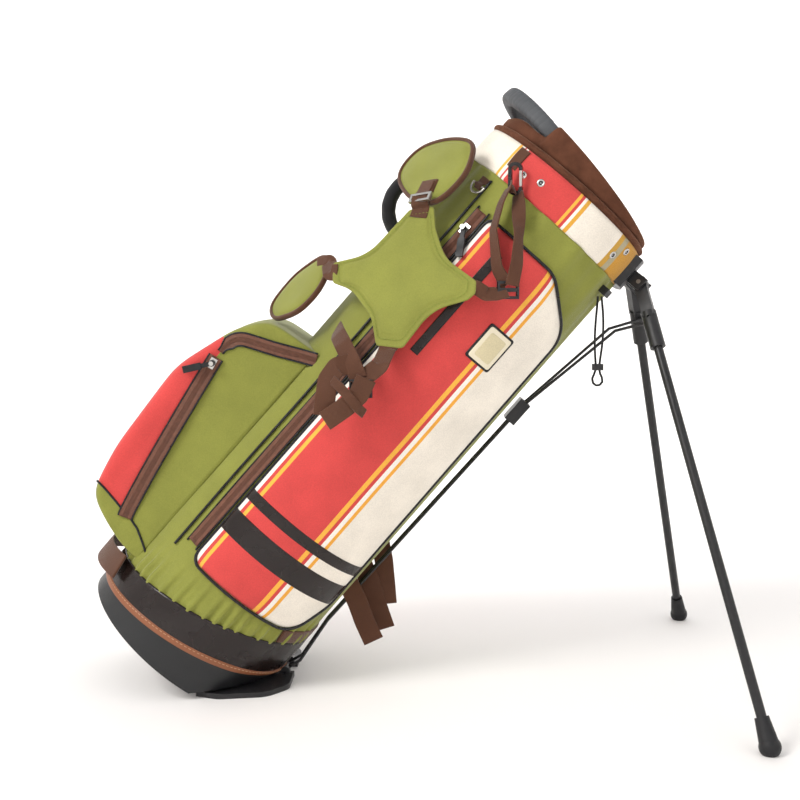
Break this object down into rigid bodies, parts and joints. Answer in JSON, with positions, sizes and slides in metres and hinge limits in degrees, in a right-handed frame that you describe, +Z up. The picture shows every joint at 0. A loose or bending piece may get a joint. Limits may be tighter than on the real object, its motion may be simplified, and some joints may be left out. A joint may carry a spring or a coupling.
{
  "type": "golf stand bag",
  "caption": "Round golf bag leaning on two folding legs and a heel plate, with a divided mouth, grab handle, side and ball pockets with zips, and a padded harness.",
  "frame": {"origin": "on the floor, at the centre of the standing bag's footprint box", "axes": "+X from the base towards the mouth, the way the bag leans; +Y across to the bag's right side; +Z up"},
  "size_m": [0.8578, 0.5778, 0.7863],
  "materials": {
    "olive_nylon": "matt woven",
    "red_nylon": "matt woven",
    "cream_nylon": "matt woven",
    "brown_webbing": "ribbed webbing",
    "brown_velour": "soft pile",
    "brown_leatherette": "satin",
    "trim_leather": "stitched satin",
    "black_plastic": "fine texture",
    "black_steel": "satin black",
    "nickel_steel": "polished",
    "black_rubber": "matt ribbed",
    "foam": "matt",
    "lining": "matt",
    "black_cord": "braided"
  },
  "bodies": {
    "bag": {"body_shell": "olive_nylon", "floor_pad": "foam", "club_divider": "lining", "spine_stays": "foam", "collar_band": "red_nylon", "rim_trim": "brown_velour", "top_frame": "black_plastic", "divider_covers": "brown_velour", "mouth_cuff": "brown_velour", "grab_grip": "black_rubber", "grip_core": "black_plastic", "rivets": "nickel_steel", "base_cup": "black_plastic", "base_band": "brown_leatherette", "base_trim": "trim_leather", "spine_band": "brown_webbing", "heel_pin": "nickel_steel", "leg_bracket": "black_plastic", "hinge_pins": "nickel_steel", "side_pocket_left": "red_nylon", "side_pocket_right": "red_nylon", "side_zip_left": "brown_webbing", "side_zip_right": "brown_webbing", "ball_pocket": "olive_nylon", "ball_zip": "brown_webbing", "label_patch": "cream_nylon", "carry_handle": "black_rubber", "harness_hub": "olive_nylon", "shoulder_pad": "olive_nylon", "lower_pad": "olive_nylon", "loop_buckle": "nickel_steel", "front_strap": "brown_webbing", "strap_slides": "black_plastic", "carabiner": "black_plastic", "hanger_tab": "brown_webbing", "d_ring_tab": "brown_webbing", "rear_strap": "brown_webbing", "strap_tails": "brown_webbing", "base_handle": "brown_webbing", "elastic_cord": "black_cord", "cord_lock": "black_plastic", "cord_anchor": "black_plastic"},
    "heel_plate": {"heel_plate": "black_plastic"},
    "actuator": {"actuator": "black_steel"},
    "leg_left": {"knuckle_left": "black_plastic", "leg_tube_left": "black_steel", "foot_left": "black_rubber"},
    "leg_right": {"knuckle_right": "black_plastic", "leg_tube_right": "black_steel", "foot_right": "black_rubber"},
    "arm_left": {"wire_left": "black_steel"},
    "arm_right": {"wire_right": "black_steel"},
    "side_slider_left": {"side_slider_left": "nickel_steel"},
    "side_slider_right": {"side_slider_right": "nickel_steel"},
    "side_pull_left": {"side_pull_left": "black_rubber"},
    "side_pull_right": {"side_pull_right": "black_rubber"},
    "ball_slider": {"ball_slider": "nickel_steel"},
    "ball_pull": {"ball_pull": "black_rubber"},
    "d_ring": {"d_ring": "nickel_steel"},
    "carabiner_gate": {"carabiner_gate": "nickel_steel"}
  },
  "joints": [
    {"name": "leg_left_fold", "type": "hinge", "parent": "bag", "child": "leg_left", "pos_m": [0.29602, -0.032, 0.53376], "axis": [0.3693, 0.8721, -0.3211], "range_deg": [0, 57.5]},
    {"name": "leg_right_fold", "type": "hinge", "parent": "bag", "child": "leg_right", "pos_m": [0.29602, 0.032, 0.53376], "axis": [-0.3693, 0.8721, 0.3211], "range_deg": [0, 57.5]},
    {"name": "heel_hinge", "type": "hinge", "parent": "bag", "child": "heel_plate", "pos_m": [-0.27605, 0, 0.008], "axis": [0, 1, 0], "range_deg": [0, 23.1]},
    {"name": "actuator_pivot", "type": "hinge", "parent": "heel_plate", "child": "actuator", "pos_m": [-0.17427, 0, 0.008], "axis": [0, 1, 0], "range_deg": [-25.8, 0]},
    {"name": "wire_left_pivot", "type": "hinge", "parent": "leg_left", "child": "arm_left", "pos_m": [0.30696, -0.04983, 0.48936], "axis": [0.3693, 0.8721, -0.3211], "range_deg": [-68, 0]},
    {"name": "wire_right_pivot", "type": "hinge", "parent": "leg_right", "child": "arm_right", "pos_m": [0.30696, 0.04983, 0.48936], "axis": [-0.3693, 0.8721, 0.3211], "range_deg": [-68, 0]},
    {"name": "side_zip_left_slide", "type": "slide", "parent": "bag", "child": "side_slider_left", "axis": [-0.6593, -0.0072, -0.7518], "range_m": [0, 0.48]},
    {"name": "side_zip_right_slide", "type": "slide", "parent": "bag", "child": "side_slider_right", "axis": [-0.6593, 0.0072, -0.7518], "range_m": [0, 0.48]},
    {"name": "side_pull_left_swing", "type": "hinge", "parent": "side_slider_left", "child": "side_pull_left", "pos_m": [0.06747, -0.11112, 0.60126], "axis": [-0.3832, -0.8571, 0.3442], "range_deg": [-120, 40]},
    {"name": "side_pull_right_swing", "type": "hinge", "parent": "side_slider_right", "child": "side_pull_right", "pos_m": [0.06747, 0.11112, 0.60126], "axis": [0.3832, -0.8571, -0.3442], "range_deg": [-120, 40]},
    {"name": "ball_zip_slide", "type": "slide", "parent": "bag", "child": "ball_slider", "axis": [-0.5057, 0, -0.8627], "range_m": [0, 0.2]},
    {"name": "ball_pull_swing", "type": "hinge", "parent": "ball_slider", "child": "ball_pull", "pos_m": [-0.25705, -0.0762, 0.43306], "axis": [0, -1, 0], "range_deg": [-40, 120]},
    {"name": "d_ring_swing", "type": "hinge", "parent": "bag", "child": "d_ring", "pos_m": [0.08357, -0.09404, 0.65788], "axis": [0.5401, -0.6984, -0.4695], "range_deg": [-95, 0]},
    {"name": "carabiner_gate_swing", "type": "hinge", "parent": "bag", "child": "carabiner_gate", "pos_m": [0.13398, -0.12636, 0.65513], "axis": [0.342, 0.9397, 0], "range_deg": [-24, 0], "stiffness_Nm_per_rad": 0.01, "springref_deg": 2.86}
  ],
  "couplings": [
    {"joint": "leg_right_fold", "follows": "leg_left_fold", "ratio": 1},
    {"joint": "heel_hinge", "follows": "leg_left_fold", "ratio": 0.4004},
    {"joint": "actuator_pivot", "follows": "leg_left_fold", "ratio": -0.4475},
    {"joint": "wire_left_pivot", "follows": "leg_left_fold", "ratio": -1.1822},
    {"joint": "wire_right_pivot", "follows": "leg_left_fold", "ratio": -1.1822}
  ]
}
